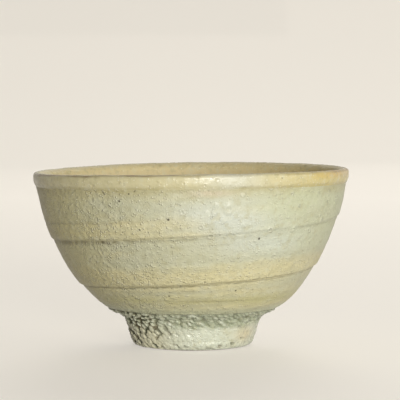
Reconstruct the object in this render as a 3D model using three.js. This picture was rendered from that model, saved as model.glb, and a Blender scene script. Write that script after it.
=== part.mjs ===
// Tea bowl: a wheel-thrown stoneware bowl on a foot ring, under coats of glaze.
// Millimetres, +Z up. The origin is under the mouth's centre, level with the foot's resting face, and the
// front is towards -Y.
import * as THREE from "three";
import { mergeVertices } from "three/addons/utils/BufferGeometryUtils.js";

// Whole bowl, measured over the glaze
const mouthDiameter = 145;
const bowlHeight = 81.3; // at the middle of the lip, which leans and waves

// Glaze coats: the dipped coat everywhere, and the extra that pools in the angle above the foot
const glazeThickness = 0.5;
const glazePool = 0.2;
const glazeCollarReach = 4.6; // how far the crawled collar climbs the underside of the bowl
const bareEdgeShare = 0.28; // of the foot's worn edge, wiped bare of glaze so that it can't stick to a shelf
const bareWell = 0.4; // clay left bare inside the foot's hollow, above its bevel

// Foot ring, in bare clay
const footHeight = 9;
const footTopDiameter = 58.2;
const footBaseDiameter = 53.4; // where the sloping side would meet the resting face
const footEdgeWidth = 3.7; // rounding of the outer edge, across the base
const footEdgeHeight = 6.7; // and up the side
const footRestWidth = 2.8;
const wellTopDiameter = 37.2;
const wellMouthDiameter = 39;
const wellEdgeHeight = 1.6; // bevel between the resting face and the hollow
const footOffset = 0.9; // the foot was turned this far to the right of the mouth's centre
const footOffsetReach = 36; // height above the foot over which the wall takes this up

// Bowl wall, in bare clay
const rootHeight = 14.9; // where the foot's side would meet the underside of the bowl
const rootFilletOnFoot = 4.1;
const rootFilletOnBowl = 4.9;
const undersideAngle = THREE.MathUtils.degToRad(19.9); // above the horizontal
const undersideReach = 15.5; // how far the underside keeps its direction before it turns up
const wallAngle = THREE.MathUtils.degToRad(82.1); // of the wall just under the lip
const wallReach = 26;
const wallThickness = 3.9; // under the lip
const wallThicknessAtFoot = 6.3;
const floorThickness = 7;

// Lip: a flared band over a crisp neck, with its crest at the outer edge and a top that slopes inwards
const lipThickness = 4.5;
const lipBandHeight = 5.6; // from the neck under the band to the top
const lipOverhang = 1.2; // of the band past the neck
const lipFlare = THREE.MathUtils.degToRad(8); // how far the band leans outwards
const lipFall = THREE.MathUtils.degToRad(18); // of the top, towards the inside
const lipCrestRadius = 1.2;
const lipFootRounding = 1.5; // of the band's lower edge
const lipInnerRounding = 2;
const lipTilt = 1; // the highest side stands this much above the middle height, the lowest this much below
const lipTiltAngle = THREE.MathUtils.degToRad(82); // of the highest side, from the front towards the right
const lipWave = 0.4; // front and back stand this much higher still, and the two sides this much lower

// Throwing spiral: the finger's groove climbs from the foot to the lip, with a ledge above it
const spiralPitch = 24.6; // along the wall's outline, for one turn
const spiralStart = 24.2; // of the lower groove at the front, along the wall from the root
const spiralSway = 1; // the hand's uneven climb within a turn
const spiralSwayAngle = THREE.MathUtils.degToRad(-78); // where the climb is slowest
const ridgeHeight = 0.6;
const ridgeFade = 7; // length over which the ridge dies out at both ends
const ledgeShare = 0.06; // of the pitch, taken by the ledge

// Facets
const columns = 48;
const ridgeRows = [0, ledgeShare, 0.22, 0.48, 0.76]; // places within one pitch
const edgeRows = 2;
const filletRows = 3;
const collarRows = 2;
const neckRows = 3;
const crestRows = 4;
const innerLipRows = 2;
const innerWallRows = 7;
const floorRows = 4;
const leastRow = 0.5; // rows closer than this to the wall's ends join them
const samePoint = 1e-3; // points closer than this are one
const roundingRoom = 1e-6; // keeps a row that lies on the groove above it

const vec = (radius, height) => new THREE.Vector2(radius, height);
const along = (angle, length) => vec(Math.cos(angle) * length, Math.sin(angle) * length);
const smooth = THREE.MathUtils.smoothstep;

// The clay's outline, from the resting face up the outside, over the lip and down to the floor's centre
const footBase = vec(footBaseDiameter / 2, 0);
const seatEdge = vec(footTopDiameter / 2, footHeight);
const footSide = seatEdge.clone().sub(footBase).normalize();
const rootCorner = footBase.clone().addScaledVector(footSide, rootHeight / footSide.y);
const wallRoot = rootCorner.clone().add(along(undersideAngle, rootFilletOnBowl));
const lipCorner = vec(mouthDiameter / 2 - glazeThickness, bowlHeight - glazeThickness);
const neck = vec(lipCorner.x - lipOverhang, lipCorner.y - lipBandHeight);

function wallCurve() {
  const leaving = wallRoot.clone().add(along(undersideAngle, undersideReach));
  const arriving = neck.clone().sub(along(wallAngle, wallReach));
  return new THREE.CubicBezierCurve(wallRoot, leaving, arriving, neck);
}

// The inner wall keeps the clay's thickness behind the outer one, growing towards the foot.
function innerWallPoints() {
  const wall = wallCurve();
  const points = [];
  for (let row = innerWallRows - 1; row >= 0; row -= 1) {
    const share = row / innerWallRows;
    const growth = (wallThicknessAtFoot - wallThickness) * (1 - share) ** 2;
    const tangent = wall.getTangentAt(share);
    const inward = vec(-tangent.y, tangent.x);
    points.push(wall.getPointAt(share).addScaledVector(inward, wallThickness + growth));
  }
  return points;
}

// Over the lip: out under the band, up its face, round the crest, down the slope and into the bowl.
function addLip(outline) {
  const crest = lipCorner.clone().subScalar(lipCrestRadius);
  const bandTop = crest.clone().add(along(-lipFlare, lipCrestRadius));
  const upTheBand = along(Math.PI / 2 - lipFlare, 1);
  const bandCorner = bandTop.clone().addScaledVector(upTheBand, (neck.y - bandTop.y) / upTheBand.y);
  const bandFoot = bandCorner.clone().addScaledVector(upTheBand, lipFootRounding);
  const slopeTop = crest.clone().add(along(Math.PI / 2 + lipFall, lipCrestRadius));
  const slopeRun = slopeTop.x - (lipCorner.x - lipThickness);
  const innerCorner = slopeTop.clone().sub(along(lipFall, slopeRun / Math.cos(lipFall)));
  const slopeFoot = innerCorner.clone().add(along(lipFall, lipInnerRounding));
  const innerTop = innerCorner.clone().sub(along(wallAngle, lipInnerRounding));
  outline.quadraticCurveTo(bandCorner.x, bandCorner.y, bandFoot.x, bandFoot.y);
  outline.lineTo(bandTop.x, bandTop.y);
  outline.absarc(crest.x, crest.y, lipCrestRadius, -lipFlare, Math.PI / 2 + lipFall);
  outline.lineTo(slopeFoot.x, slopeFoot.y);
  outline.quadraticCurveTo(innerCorner.x, innerCorner.y, innerTop.x, innerTop.y);
}

function clayOutline() {
  const edgeTop = footBase.clone().addScaledVector(footSide, footEdgeHeight);
  const filletFoot = rootCorner.clone().addScaledVector(footSide, -rootFilletOnFoot);
  const innerWall = innerWallPoints();
  const innerRoot = innerWall[innerWall.length - 1];
  const floorHeight = footHeight + floorThickness;
  const outline = new THREE.Path();
  outline.moveTo(footBase.x - footEdgeWidth, 0);
  outline.quadraticCurveTo(footBase.x, footBase.y, edgeTop.x, edgeTop.y);
  outline.lineTo(seatEdge.x, seatEdge.y);
  outline.lineTo(filletFoot.x, filletFoot.y);
  outline.quadraticCurveTo(rootCorner.x, rootCorner.y, wallRoot.x, wallRoot.y);
  outline.curves.push(wallCurve());
  outline.currentPoint.copy(neck);
  addLip(outline);
  outline.splineThru(innerWall);
  outline.quadraticCurveTo(innerRoot.x / 2, floorHeight, 0, floorHeight);
  return outline;
}

const outline = clayOutline();
const [
  edgeEnd, // worn edge of the foot
  seatEnd, // foot's side, up to the seat
  sideEnd, // bowl's base pad
  rootEnd, // fillet
  wallEnd, // ridged wall, up to the neck
  neckEnd, // rounding under the band
  bandEnd, // band's face
  crestEnd, // crest
  slopeEnd, // top of the lip
  lipEnd, // rounding into the bowl
  innerEnd, // inner wall
  outlineEnd, // floor
] = outline.getCurveLengths();
const glazeStart = edgeEnd * bareEdgeShare;
const collarEnd = rootEnd + glazeCollarReach;

// Rows are distances along the outline. A span is cut into equal rows, with both of its ends.
function span(from, to, count) {
  return Array.from({ length: count + 1 }, (_, row) => from + ((to - from) * row) / count);
}

// How far up the outline the groove lies, after so many turns from the front.
function grooveAt(turns) {
  const swing = Math.sin(2 * Math.PI * turns - spiralSwayAngle) + Math.sin(spiralSwayAngle);
  return rootEnd + spiralStart + spiralPitch * turns - spiralSway * swing;
}

// The rows of the wall climb with the groove, and gather on the wall's two ends.
function wallRows(turn) {
  const lapsBelow = Math.ceil(spiralStart / spiralPitch) + 1;
  const lapsAbove = Math.ceil((wallEnd - rootEnd) / spiralPitch) + 1;
  const rows = [];
  for (let lap = -lapsBelow; lap <= lapsAbove; lap += 1) {
    const lower = grooveAt(lap + turn);
    const pitch = grooveAt(lap + 1 + turn) - lower;
    ridgeRows.forEach((share) => rows.push(lower + share * pitch));
  }
  return rows.map((row) => {
    if (row < collarEnd + leastRow) return collarEnd;
    return row > wallEnd - leastRow ? wallEnd : row;
  });
}

// How proud of the plain wall the clay stands: a ledge over the groove that falls away up to the next one.
function ridgeAt(row, turn) {
  const fade =
    smooth(row, collarEnd, collarEnd + ridgeFade) * (1 - smooth(row, wallEnd - ridgeFade, wallEnd));
  const laps = (row - grooveAt(turn)) / spiralPitch;
  const share = laps - Math.floor(laps + roundingRoom);
  const rise =
    share < ledgeShare
      ? share / ledgeShare
      : 0.5 + 0.5 * Math.cos((Math.PI * (share - ledgeShare)) / (1 - ledgeShare));
  return ridgeHeight * fade * (rise - 0.5);
}

// The lip isn't level: the wall is drawn up or held back, more the higher it is, and the floor stays put.
function lifted(point, turn) {
  const angle = 2 * Math.PI * turn;
  const rise = lipTilt * Math.cos(angle - lipTiltAngle) + lipWave * Math.cos(2 * angle);
  const climbed = Math.max(0, point.y - footHeight) / (bowlHeight - footHeight);
  const clearOfFloor = Math.min(1, point.x / seatEdge.x);
  return vec(point.x, point.y + rise * clearOfFloor * climbed ** 2);
}

// The point of the clay's face at a row, or of the glaze's face at a depth of glaze above it.
function facePoint(row, turn, depth) {
  const share = row / outlineEnd;
  const tangent = outline.getTangent(share);
  const outward = vec(tangent.y, -tangent.x);
  const onWall = row > collarEnd && row < wallEnd;
  const proud = depth + (onWall ? ridgeAt(row, turn) : 0);
  const point = outline.getPoint(share).addScaledVector(outward, proud);
  if (row === outlineEnd) point.x = 0;
  return lifted(point, turn);
}

// The glaze is deeper where it pools in the angle between the foot and the bowl.
function glazeDepth(row) {
  const pool = smooth(row, seatEnd, rootEnd) * (1 - smooth(row, rootEnd, collarEnd));
  return glazeThickness + glazePool * pool;
}

// A coat over a run of rows: the glaze's own face out, and the clay's face back.
function coat(rows, turn) {
  const outer = rows.map((row) => facePoint(row, turn, glazeDepth(row)));
  const inner = rows.map((row) => facePoint(row, turn, 0));
  return [...outer, ...inner.reverse(), outer[0]];
}

// How far right of the mouth's centre a section lies: the whole offset at the foot, none high up the wall.
function centreAt(height) {
  return footOffset * (1 - smooth(height, footHeight, footHeight + footOffsetReach));
}

// A skin turned about Z: profileAt gives the outline (radius, height) at a share of a turn from the front.
// Each four-cornered facet is split along its shorter diagonal, so that faces which touch are split alike.
function turned(profileAt) {
  const profiles = span(0, 1, columns).map(profileAt);
  const rows = profiles[0].length;
  const positions = profiles.flatMap((profile, column) => {
    const angle = (2 * Math.PI * column) / columns;
    return profile.flatMap((p) => [centreAt(p.y) + p.x * Math.sin(angle), -p.x * Math.cos(angle), p.y]);
  });
  const corner = (vertex) => new THREE.Vector3().fromArray(positions, 3 * vertex);
  const faces = [];
  for (let column = 0; column < columns; column += 1) {
    for (let row = 0; row < rows - 1; row += 1) {
      const a = column * rows + row;
      const [b, c, d] = [a + rows, a + rows + 1, a + 1];
      const acSplits = corner(a).distanceTo(corner(c)) < corner(b).distanceTo(corner(d));
      faces.push(...(acSplits ? [a, b, c, a, c, d] : [a, b, d, b, c, d]));
    }
  }
  const grid = new THREE.BufferGeometry();
  grid.setAttribute("position", new THREE.Float32BufferAttribute(positions, 3));
  grid.setIndex(faces);
  return withoutSlivers(mergeVertices(grid, samePoint));
}

// Where rows gather on one point, their facets shrink to nothing and are left out.
function withoutSlivers(geometry) {
  const kept = [];
  for (let face = 0; face < geometry.index.count; face += 3) {
    const corners = [0, 1, 2].map((k) => geometry.index.getX(face + k));
    if (new Set(corners).size === 3) kept.push(...corners);
  }
  geometry.setIndex(kept);
  geometry.computeVertexNormals();
  return geometry;
}

// Rows over the lip, close together on its roundings.
const lipRows = [
  ...span(wallEnd, neckEnd, neckRows),
  ...span(bandEnd, crestEnd, crestRows),
  ...span(slopeEnd, lipEnd, innerLipRows),
];

// Rows from the inner lip down to the floor's centre.
const insideRows = [
  ...span(lipEnd, innerEnd, innerWallRows),
  ...span(innerEnd, outlineEnd, floorRows).slice(1),
];

// Rows over the fillet and the collar above it.
const collar = [...span(sideEnd, rootEnd, filletRows), ...span(rootEnd, collarEnd, collarRows).slice(1)];

// Bowl: base pad, fillet, ridged wall, lip, inner wall and floor, thrown in one piece
function thrownBowl() {
  return turned((turn) => {
    const rows = [seatEnd, ...collar, ...wallRows(turn), ...lipRows, ...insideRows.slice(1)];
    return [vec(0, footHeight), ...rows.map((row) => facePoint(row, turn, 0))];
  });
}

// Foot ring: a flat seat on top, a sloping outside with a worn edge, a bevelled hollow
function footRing() {
  const rows = [...span(0, glazeStart, edgeRows), ...span(glazeStart, edgeEnd, edgeRows).slice(1), seatEnd];
  const outside = rows.map((row) => facePoint(row, 0, 0));
  const restInner = footBase.x - footEdgeWidth - footRestWidth;
  const ring = [
    ...outside,
    vec(wellTopDiameter / 2, footHeight),
    vec(wellMouthDiameter / 2, wellEdgeHeight),
    vec(restInner, 0),
    outside[0],
  ];
  return turned(() => ring);
}

function footGlaze() {
  const rows = [...span(glazeStart, edgeEnd, edgeRows), seatEnd, ...collar];
  return turned((turn) => coat(rows, turn));
}

function outerGlaze() {
  return turned((turn) => coat(wallRows(turn), turn));
}

function rimGlaze() {
  return turned((turn) => coat(lipRows, turn));
}

function linerGlaze() {
  return turned((turn) => coat(insideRows, turn));
}

// Glaze in the foot's hollow: over the underside of the bowl and down the ring's inner side
function wellGlaze() {
  const top = vec(wellTopDiameter / 2, footHeight);
  const mouth = vec(wellMouthDiameter / 2, wellEdgeHeight);
  const low = mouth.clone().lerp(top, bareWell / (footHeight - wellEdgeHeight));
  const side = top.clone().sub(low).normalize();
  const inward = vec(-side.y, side.x).multiplyScalar(glazeThickness);
  const ceiling = footHeight - glazeThickness;
  const innerTop = vec(top.x - glazeThickness / side.y, ceiling);
  const profile = [vec(0, ceiling), innerTop, low.clone().add(inward), low, top, vec(0, footHeight)];
  return turned(() => profile);
}

function piece(name, geometry, finish) {
  const mesh = new THREE.Mesh(geometry, new THREE.MeshStandardMaterial(finish));
  mesh.name = name;
  return mesh;
}

const clay = { color: 0xb9a184, roughness: 0.95, metalness: 0 };
const ashGlaze = { color: 0xc4c2a0, roughness: 0.4, metalness: 0 };
const rimTint = { color: 0xd3c193, roughness: 0.4, metalness: 0 };
const crawledGlaze = { color: 0xcfd0c0, roughness: 0.45, metalness: 0 };

const teaBowl = new THREE.Group();
teaBowl.add(
  piece("thrown_bowl", thrownBowl(), clay),
  piece("foot_ring", footRing(), clay),
  piece("outer_glaze", outerGlaze(), ashGlaze),
  piece("rim_glaze", rimGlaze(), rimTint),
  piece("liner_glaze", linerGlaze(), ashGlaze),
  piece("foot_glaze", footGlaze(), crawledGlaze),
  piece("well_glaze", wellGlaze(), crawledGlaze),
);

export default teaBowl;
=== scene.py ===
import bpy
import numpy as np
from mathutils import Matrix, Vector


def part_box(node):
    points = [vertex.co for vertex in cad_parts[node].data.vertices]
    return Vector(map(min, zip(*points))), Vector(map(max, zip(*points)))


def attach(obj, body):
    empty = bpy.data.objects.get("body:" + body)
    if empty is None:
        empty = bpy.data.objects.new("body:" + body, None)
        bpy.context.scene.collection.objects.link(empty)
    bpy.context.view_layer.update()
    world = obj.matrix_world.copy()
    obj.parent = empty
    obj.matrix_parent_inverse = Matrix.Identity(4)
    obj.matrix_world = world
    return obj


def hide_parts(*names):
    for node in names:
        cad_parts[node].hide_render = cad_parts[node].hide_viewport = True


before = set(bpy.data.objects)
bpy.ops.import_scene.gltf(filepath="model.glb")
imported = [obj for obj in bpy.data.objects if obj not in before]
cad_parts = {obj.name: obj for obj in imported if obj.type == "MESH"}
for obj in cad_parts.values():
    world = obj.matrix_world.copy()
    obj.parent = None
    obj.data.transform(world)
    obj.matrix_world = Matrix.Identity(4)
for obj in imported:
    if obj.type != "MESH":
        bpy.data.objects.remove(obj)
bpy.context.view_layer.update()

# Thrown bowl
# Sandy stoneware, thrown on a wheel in one piece: a thick floor, a wall drawn up thin, and a lip turned out
# as a flared band. The thrower's finger left one groove that climbs the wall in a spiral, under a ledge.
mm = 0.001
glaze = 0.5 * mm
ring_low, ring_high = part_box("foot_ring")
seat_height = ring_high.z
foot_top = np.array([(ring_high.x - ring_low.x) / 2, seat_height])
foot_offset = (ring_high.x + ring_low.x) / 2
foot_offset_reach = 36 * mm
foot_base = np.array([26.7, 0.0]) * mm
foot_edge_width = 3.7 * mm
foot_edge_height = 6.7 * mm
root_height = 14.9 * mm
root_on_foot = 4.1 * mm
root_on_bowl = 4.9 * mm
underside_angle = np.radians(19.9)
underside_reach = 15.5 * mm
wall_angle = np.radians(82.1)
wall_reach = 26 * mm
wall_thickness = 3.9 * mm
wall_thickness_at_foot = 6.3 * mm
inner_wall_share = 6 / 7
floor_height = seat_height + 7 * mm
mouth_radius = 72.5 * mm
bowl_height = 81.3 * mm
lip_thickness = 4.5 * mm
lip_band = 5.6 * mm
lip_overhang = 1.2 * mm
lip_flare = np.radians(8)
lip_fall = np.radians(18)
crest_radius = 1.2 * mm
lip_foot_rounding = 1.5 * mm
lip_inner_rounding = 2 * mm
lip_tilt = 1 * mm
lip_tilt_angle = np.radians(82)
lip_wave = 0.4 * mm


def bezier(*points):
    """A Bezier curve: neighbouring points are blended by the share t, and the results again, down to one."""
    t = np.linspace(0, 1, 400)[:, None]
    layer = [np.array(point) for point in points]
    while len(layer) > 1:
        layer = [low + (high - low) * t for low, high in zip(layer, layer[1:])]
    return layer[0]


def toward(angle, length):
    """A step of that length at an angle above the horizontal, as (radius, height)."""
    return np.array([np.cos(angle), np.sin(angle)]) * length


def arc_length(points):
    """The distance along a line of points, summed from its first point."""
    steps = np.linalg.norm(np.diff(points, axis=0), axis=1)
    return np.concatenate([[0], np.cumsum(steps)])


def normals(points):
    """The direction a quarter turn to the right of a line's own, which is outwards on the outline."""
    along = np.gradient(points, axis=0)
    along /= np.linalg.norm(along, axis=1)[:, None]
    return np.stack([along[:, 1], -along[:, 0]], axis=1)


def points_at(along, line_at, line):
    """The points at these distances along a line, between its own points in a straight line."""
    return np.stack([np.interp(along, line_at, line[:, axis]) for axis in (0, 1)], axis=1)


def averaged(line, width):
    """A running average over so many points of a line, weighted by a raised cosine, with its ends held."""
    weights = np.hanning(width) / np.hanning(width).sum()
    padded = np.pad(line, ((width // 2, width // 2), (0, 0)), "edge")
    return np.stack([np.convolve(padded[:, axis], weights, "valid") for axis in (0, 1)], axis=1)


foot_side = (foot_top - foot_base) / np.linalg.norm(foot_top - foot_base)
edge_top = foot_base + foot_side * foot_edge_height
root_corner = foot_base + foot_side * root_height / foot_side[1]
fillet_foot = root_corner - foot_side * root_on_foot
wall_root = root_corner + toward(underside_angle, root_on_bowl)
lip_corner = np.array([mouth_radius, bowl_height]) - glaze
neck = lip_corner - [lip_overhang, lip_band]
wall = bezier(
    wall_root,
    wall_root + toward(underside_angle, underside_reach),
    neck - toward(wall_angle, wall_reach),
    neck,
)
wall_share = arc_length(wall)[:, None] / arc_length(wall)[-1]
clay_depth = wall_thickness + (wall_thickness_at_foot - wall_thickness) * (1 - wall_share) ** 2
inner_wall = (wall - normals(wall) * clay_depth)[wall_share[:, 0] < inner_wall_share][::-1]

crest = lip_corner - crest_radius
band_top = crest + toward(-lip_flare, crest_radius)
up_the_band = toward(np.pi / 2 - lip_flare, 1)
band_corner = band_top + up_the_band * (neck[1] - band_top[1]) / up_the_band[1]
band_foot = band_corner + up_the_band * lip_foot_rounding
crest_angle = np.linspace(-lip_flare, np.pi / 2 + lip_fall, 200)[:, None]
slope_top = crest + toward(np.pi / 2 + lip_fall, crest_radius)
slope_run = slope_top[0] - lip_corner[0] + lip_thickness
inner_corner = slope_top - toward(lip_fall, slope_run / np.cos(lip_fall))
slope_foot = inner_corner + toward(lip_fall, lip_inner_rounding)
inner_top = inner_corner - toward(wall_angle, lip_inner_rounding)
inner_start = inner_wall[0] + (inner_top - inner_wall[0]) / 3

stretches = [
    bezier(foot_base - [foot_edge_width, 0], foot_base, edge_top),
    bezier(edge_top, foot_top),
    bezier(foot_top, fillet_foot),
    bezier(fillet_foot, root_corner, wall_root),
    wall,
    bezier(neck, band_corner, band_foot),
    bezier(band_foot, band_top),
    crest + crest_radius * np.hstack([np.cos(crest_angle), np.sin(crest_angle)]),
    bezier(slope_top, slope_foot),
    bezier(slope_foot, inner_corner, inner_top),
    np.concatenate([bezier(inner_top, inner_start, inner_wall[0])[:-1], inner_wall]),
    bezier(inner_wall[-1], [inner_wall[-1, 0] / 2, floor_height], [0, floor_height]),
]
ends = np.cumsum([arc_length(stretch)[-1] for stretch in stretches])
edge_end, seat_end, side_end, root_end, wall_end, neck_end = ends[:6]
band_end, crest_end, slope_end, lip_end, _, outline_end = ends[6:]
collar_height = 4.6 * mm
collar_end = root_end + collar_height

# The outline again, at even distances, with its normals eased as a finger and a sponge ease a corner
outline_raw = np.concatenate(stretches)
outline_step = 0.05 * mm
corner_easing = 31
outline_at = np.linspace(0, outline_end, int(outline_end / outline_step))
outline = points_at(outline_at, arc_length(outline_raw), outline_raw)
outward = averaged(normals(outline), corner_easing)
outward /= np.linalg.norm(outward, axis=1)[:, None]
outward[-1] = [0, 1]

spiral_pitch = 24.6 * mm
spiral_start = 24.2 * mm
spiral_sway = 1 * mm
spiral_sway_angle = np.radians(-78)
ridge_height = 0.6 * mm
ridge_fade = 7 * mm
ledge_share = 0.06


def ease(value, low, high):
    """0 up to low, 1 from high, and 3t^2 - 2t^3 between them."""
    t = np.clip((value - low) / (high - low), 0, 1)
    return t * t * (3 - 2 * t)


def groove_at(turns):
    """Where the groove lies along the outline, some turns from the front: a steady climb with a sway."""
    swing = np.sin(2 * np.pi * turns - spiral_sway_angle) + np.sin(spiral_sway_angle)
    return root_end + spiral_start + spiral_pitch * turns - spiral_sway * swing


def laps_at(turn, along):
    """Laps of the spiral between the groove at the front and a point on the wall."""
    return (along - groove_at(turn)) / spiral_pitch


def on_wall(along, fade):
    """1 on the wall, falling to 0 at its foot and under the lip over the length of the fade."""
    return ease(along, collar_end, collar_end + fade) * (1 - ease(along, wall_end - fade, wall_end))


def ridge(turn, along):
    """How proud of the plain wall the clay stands: it steps out over the ledge, then falls as a cosine."""
    share = laps_at(turn, along) % 1
    fall = 0.5 + 0.5 * np.cos(np.pi * (share - ledge_share) / (1 - ledge_share))
    rise = np.where(share < ledge_share, share / ledge_share, fall)
    return ridge_height * (rise - 0.5) * on_wall(along, ridge_fade)


def turned(turn, radius, height):
    """Points at a radius and height, turned about Z from the front. The foot stands off the mouth's centre,
    and the wall takes this up as it climbs."""
    angle = 2 * np.pi * (turn % 1)
    centre = foot_offset * (1 - ease(height, seat_height, seat_height + foot_offset_reach))
    to_right = centre + radius * np.sin(angle)
    to_back = -radius * np.cos(angle)
    return np.stack(np.broadcast_arrays(to_right, to_back, height), axis=-1)


def radius_at(along):
    """The outline's radius at a distance along it."""
    return np.interp(along, outline_at, outline[:, 0])


def height_at(along):
    """The outline's height at a distance along it."""
    return np.interp(along, outline_at, outline[:, 1])


def skin(turn, along, depth):
    """Points above the clay's face at a depth of glaze: the outline, moved outwards, lifted by the tilt of
    the lip, which grows with the square of the height and dies out over the floor, and turned about Z."""
    radius = radius_at(along) + depth * np.interp(along, outline_at, outward[:, 0])
    height = height_at(along) + depth * np.interp(along, outline_at, outward[:, 1])
    radius = np.where(along == outline_end, 0, radius)
    angle = 2 * np.pi * turn
    climbed = np.maximum(0, height - seat_height) / (bowl_height - seat_height)
    lift = lip_tilt * np.cos(angle - lip_tilt_angle) + lip_wave * np.cos(2 * angle)
    return turned(turn, radius, height + lift * np.minimum(1, radius / foot_top[0]) * climbed ** 2)


def placed(name, data):
    """An object in the scene, at the origin."""
    made = bpy.data.objects.new(name, data)
    bpy.context.scene.collection.objects.link(made)
    return made


def turned_mesh(name, points, **masks):
    """A mesh over a grid of points, with rows along an outline and columns round the bowl. Points that
    coincide are one, which closes the seam, the poles and the ends, and triangles that vanish there are
    left out."""
    rows, columns = points.shape[:2]
    flat = points.reshape(-1, 3)
    same_place = 1e-4 * mm
    rounded = np.round(flat / same_place).astype(np.int64)
    _, first, same = np.unique(rounded, axis=0, return_index=True, return_inverse=True)
    corner = np.arange(rows * columns).reshape(rows, columns)
    a, b, c, d = corner[:-1, :-1], corner[:-1, 1:], corner[1:, 1:], corner[1:, :-1]
    triangles = np.concatenate([np.stack(three, axis=-1).reshape(-1, 3) for three in ((a, b, c), (a, c, d))])
    joined = same.ravel()[triangles]
    joined = joined[(joined != np.roll(joined, 1, axis=1)).all(axis=1)]
    mesh = bpy.data.meshes.new(name)
    mesh.vertices.add(len(first))
    mesh.vertices.foreach_set("co", flat[first].ravel())
    mesh.loops.add(joined.size)
    mesh.loops.foreach_set("vertex_index", joined.ravel())
    mesh.polygons.add(len(joined))
    mesh.polygons.foreach_set("loop_start", np.arange(0, joined.size, 3))
    mesh.update(calc_edges=True)
    mesh.shade_smooth()
    sharp_edge = np.radians(60)
    mesh.set_sharp_from_angle(angle=sharp_edge)
    for mask_name, values in masks.items():
        layer = mesh.attributes.new(mask_name, "FLOAT", "POINT")
        spread = np.broadcast_to(np.clip(values, 0, 1), (rows, columns))
        layer.data.foreach_set("value", spread.ravel()[first])
    return placed(name, mesh)


def straight_rows(from_along, to_along, count, turn):
    """Rows at even distances along the outline, the same all the way round."""
    return np.repeat(np.linspace(from_along, to_along, count)[:, None], turn.size, axis=1)


def spiral_rows(shares, turn):
    """Rows that climb with the groove, at these shares of each lap, gathered on the wall's two ends."""
    laps = np.arange(-2, np.ceil((wall_end - root_end) / spiral_pitch))
    rows = (laps[:, None] + shares[None, :]).ravel()[:, None]
    return np.clip(groove_at(turn)[None, :] + rows * spiral_pitch, collar_end, wall_end)


bowl_turn = np.linspace(0, 1, 241)
bowl_shares = np.concatenate([np.linspace(0, ledge_share, 4), np.linspace(ledge_share, 1, 11)[1:-1]])
bowl_rows = np.concatenate(
    [
        straight_rows(seat_end, collar_end, 30, bowl_turn),
        spiral_rows(bowl_shares, bowl_turn),
        straight_rows(wall_end, lip_end, 60, bowl_turn),
        straight_rows(lip_end, outline_end, 90, bowl_turn)[1:],
    ]
)
bowl_face = skin(bowl_turn, bowl_rows, ridge(bowl_turn, bowl_rows))
seat_centre = turned(bowl_turn, 0, np.full((1, bowl_turn.size), seat_height))
thrown_bowl = turned_mesh("thrown_bowl_clay", np.concatenate([seat_centre, bowl_face]))


def feed(tree, socket, value):
    """Links another node's output to a socket, or sets a plain value on it."""
    if isinstance(value, bpy.types.NodeSocket):
        tree.links.new(value, socket)
    else:
        socket.default_value = value


def node(tree, kind, output=0, **inputs):
    """Adds a node, sets its named inputs or links them, and gives back one of its outputs."""
    made = tree.nodes.new("ShaderNode" + kind)
    for name, value in inputs.items():
        feed(tree, made.inputs[int(name[1:]) if name[1:].isdigit() else name.replace("_", " ")], value)
    return made.outputs[output]


def math(tree, operation, a, b=0.0, c=0.0):
    """One sum of up to three values."""
    result = node(tree, "Math", 0, _0=a, _1=b, _2=c)
    result.node.operation = operation
    return result


def mask(tree, value, low, high):
    """0 where the value is at low, 1 at high, eased between them. Low may be the larger one."""
    result = node(tree, "MapRange", 0, Value=value, From_Min=low, From_Max=high)
    result.node.interpolation_type = "SMOOTHSTEP"
    return result


def tint(tree, under, over, share, strength=1.0):
    """One colour laid over another by a share of a strength."""
    result = tree.nodes.new("ShaderNodeMix")
    result.data_type = "RGBA"
    for socket, value in ((0, math(tree, "MULTIPLY", share, strength)), (6, under), (7, over)):
        feed(tree, result.inputs[socket], value)
    return result.outputs[2]


def carried(tree, name):
    """A mask that the mesh carries."""
    result = node(tree, "Attribute", 2)
    result.node.attribute_name = name
    return result


def colour(red, green, blue):
    """An opaque colour."""
    return (red, green, blue, 1.0)


def cells(tree, place, per_metre):
    """Random cells, so many in a metre: the distance to each one's point, and two numbers of its own."""
    distance = node(tree, "TexVoronoi", 0, Vector=place, Scale=per_metre)
    numbers = node(tree, "SeparateColor", 0, Color=distance.node.outputs["Color"]).node.outputs
    return distance, numbers[0], numbers[1]


def grains(tree, place, per_metre, width, span, lowest):
    """A round bump in each cell, as high as the cell's number times the span, plus the lowest, which is
    below 0 and makes some of them hollows."""
    distance, number, _ = cells(tree, place, per_metre)
    height = math(tree, "MULTIPLY_ADD", number, span, lowest)
    return math(tree, "MULTIPLY", mask(tree, distance, width, 0.0), height)


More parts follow.
